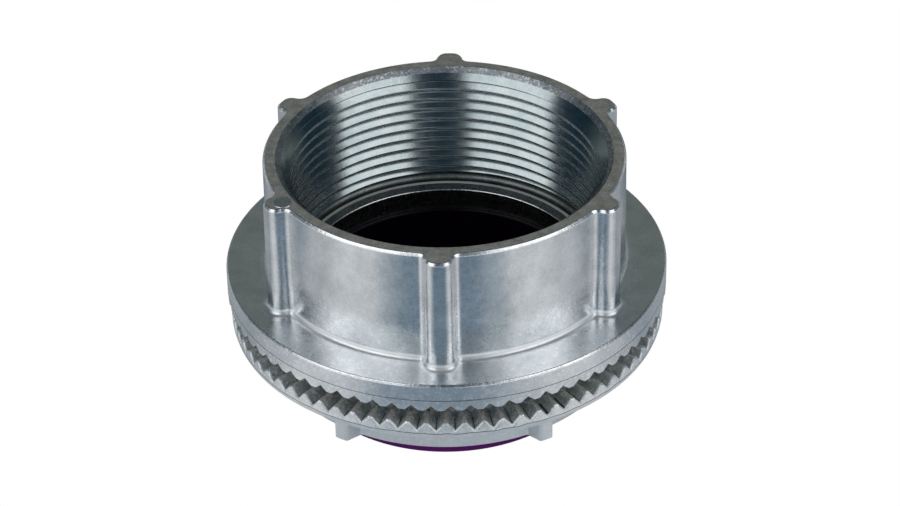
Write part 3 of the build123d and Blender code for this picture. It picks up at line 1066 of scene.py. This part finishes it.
def steady_light(nodes, kind, colour):
    """An emission or background node of strength 1."""
    light = nodes.new(kind)
    light.inputs["Color"].default_value = (*colour, 1)
    light.inputs["Strength"].default_value = 1.0
    return light.outputs[0]


def mix_shaders(nodes, links, share, first, second):
    """Two shaders mixed, where share is that of the second."""
    mix = nodes.new("ShaderNodeMixShader")
    links.new(share, mix.inputs["Fac"])
    links.new(first, mix.inputs[1])
    links.new(second, mix.inputs[2])
    return mix.outputs[0]


def glow(name, colour):
    """A material of constant brightness that lights nothing by itself."""
    material = bpy.data.materials.new(name)
    nodes, links = empty_nodes(material)
    output = nodes.new("ShaderNodeOutputMaterial")
    links.new(steady_light(nodes, "ShaderNodeEmission", colour), output.inputs["Surface"])
    material.cycles.emission_sampling = "NONE"
    return material


def floor_card(name, start, end, inner, outer, colour, height=CARD_HEIGHT):
    """A glowing card on the floor that only reflections see, between two azimuths to the right of the front:
    a painted reflection of a dimmer floor.
    """
    angles = np.radians(np.linspace(start, end, 13))
    rows = [(r * MM * math.sin(a), -r * MM * math.cos(a), (lip_end_z + height) * MM)
            for r in (inner, outer) for a in angles]
    count = len(angles)
    faces = [(k, k + 1, count + k + 1, count + k) for k in range(count - 1)]
    mesh = bpy.data.meshes.new(name)
    mesh.from_pydata(rows, [], faces)
    mesh.materials.append(glow(name, colour))
    piece = bpy.data.objects.new(name, mesh)
    piece.visible_camera = False
    piece.visible_shadow = False
    piece.visible_diffuse = False
    bpy.context.scene.collection.objects.link(piece)
    return piece


def floor_cards():
    """Glowing cards that dim the white floor in the hub's reflections, by azimuth and distance from the axis:
    painted reflections of a shaded floor and studio, with a painted contact shadow round the hub.
    """
    floor_card("card_front", -23, 20, 62, CARD_REACH, (0.14, 0.20, 0.26))
    floor_card("card_front_left", -32, -23, 62, CARD_REACH, (0.34, 0.39, 0.43))
    floor_card("card_front_right", 20, 34, 72, CARD_REACH, (0.28, 0.33, 0.37))
    floor_card("card_near", -40, 36, 30, 62, (0.52, 0.56, 0.60))
    # card_contact_shadow paints the shadow on the floor round the hub
    floor_card("card_contact_shadow", -180, 180, FLOOR_CARD_START, 42, (0.38, 0.40, 0.42))
    for name, start, end, colour in (
            ("card_left", -80, -62, (0.46, 0.48, 0.50)),
            ("card_right", 62, 80, (0.48, 0.50, 0.52)),
            ("card_left_side", -92, -80, (0.26, 0.30, 0.33)),
            ("card_right_side", 80, 96, (0.28, 0.32, 0.35)),
            ("card_left_far", -130, -92, (0.33, 0.36, 0.38)),
            ("card_right_far", 96, 130, (0.33, 0.36, 0.38)),
            ("card_back", 130, 230, (0.15, 0.17, 0.19))):
        floor_card(name, start, end, SIDE_CARD_START, CARD_REACH, colour)
    floor_card("card_floor", -180, 180, FLOOR_CARD_START, CARD_REACH, (0.66, 0.67, 0.68), FLOOR_CARD_HEIGHT)


def throat_shade_card():
    """A black disc under the throat, painted shade where the floor inside the lip gets no light, so that no
    white floor shows through it.
    """
    card = floor_card("card_throat_shade", 0, 360, 0.01, 27, (0, 0, 0), -0.1)
    card.visible_camera = True
    card.visible_diffuse = True


def seen_directly(nodes, links):
    """1 for camera, glossy and transmission rays."""
    path = nodes.new("ShaderNodeLightPath")
    total = path.outputs["Is Camera Ray"]
    for kind in ("Is Glossy Ray", "Is Transmission Ray"):
        larger = nodes.new("ShaderNodeMath")
        larger.operation = "MAXIMUM"
        links.new(total, larger.inputs[0])
        links.new(path.outputs[kind], larger.inputs[1])
        total = larger.outputs[0]
    return total


def studio_floor():
    """A white floor, which takes a faint shadow."""
    z = lip_end_z * MM - FLOOR_GAP
    corners = [(x * FLOOR_HALF, y * FLOOR_HALF, z) for x, y in ((-1, -1), (1, -1), (1, 1), (-1, 1))]
    mesh = bpy.data.meshes.new("floor")
    mesh.from_pydata(corners, [], [(0, 1, 2, 3)])
    floor = bpy.data.objects.new("floor", mesh)
    material = bpy.data.materials.new("floor")
    nodes, links = empty_nodes(material)
    white = steady_light(nodes, "ShaderNodeEmission", WHITE)
    pale = nodes.new("ShaderNodeBsdfDiffuse")
    pale.inputs["Color"].default_value = FLOOR_COLOUR
    surface = mix_shaders(nodes, links, seen_directly(nodes, links), pale.outputs[0], white)
    output = nodes.new("ShaderNodeOutputMaterial")
    links.new(surface, output.inputs["Surface"])
    material.cycles.emission_sampling = "NONE"
    mesh.materials.append(material)
    bpy.context.scene.collection.objects.link(floor)


def sky_colour(nodes, links):
    """What reflections see around the hub: a white wall, higher in front, under a dim bluish ceiling."""
    place = nodes.new("ShaderNodeTexCoord")
    split = nodes.new("ShaderNodeSeparateXYZ")
    links.new(place.outputs["Generated"], split.inputs[0])
    height = nodes.new("ShaderNodeVectorMath")
    height.operation = "DOT_PRODUCT"
    links.new(place.outputs["Generated"], height.inputs[0])
    height.inputs[1].default_value = (0, SKY_TILT, 1)
    wall = ramp(nodes, links, height.outputs["Value"], [
        (0.0, (1, 1, 1)), (0.06, (0.80, 0.82, 0.83)), (0.14, (0.35, 0.38, 0.40)), (0.24, (0.25, 0.28, 0.30)),
        (0.45, (0, 0, 0))])
    aside = nodes.new("ShaderNodeMath")
    aside.operation = "ABSOLUTE"
    links.new(split.outputs["X"], aside.inputs[0])
    middle = ramp(nodes, links, aside.outputs[0], [(0.08, (0.22, 0.28, 0.34)), (0.36, (1, 1, 1))])
    behind = ramp(nodes, links, split.outputs["Y"], [
        (0.45, (0.008, 0.03, 0.05)), (0.75, (0.13, 0.15, 0.145))])
    return blend(nodes, links, "ADD", blend(nodes, links, "MULTIPLY", wall, middle), behind)


def studio_world():
    """White to the camera, and the studio's sky to all other rays."""
    world = bpy.data.worlds.new("studio")
    nodes, links = empty_nodes(world)
    room = nodes.new("ShaderNodeBackground")
    links.new(sky_colour(nodes, links), room.inputs["Color"])
    room.inputs["Strength"].default_value = 1.0
    white = steady_light(nodes, "ShaderNodeBackground", WHITE)
    path = nodes.new("ShaderNodeLightPath")
    surface = mix_shaders(nodes, links, path.outputs["Is Camera Ray"], room.outputs[0], white)
    output = nodes.new("ShaderNodeOutputWorld")
    links.new(surface, output.inputs["Surface"])
    world.cycles.sampling_method = "NONE"
    bpy.context.scene.world = world


place_camera()
studio_floor()
studio_world()
softbox("right_box", facing(33, 50.0), facing(85, 33.0))
softbox("left_box", facing(-20, 51.0), facing(-83, 33.5))
floor_cards()
throat_shade_card()

bpy.context.scene.view_settings.view_transform = "Standard"
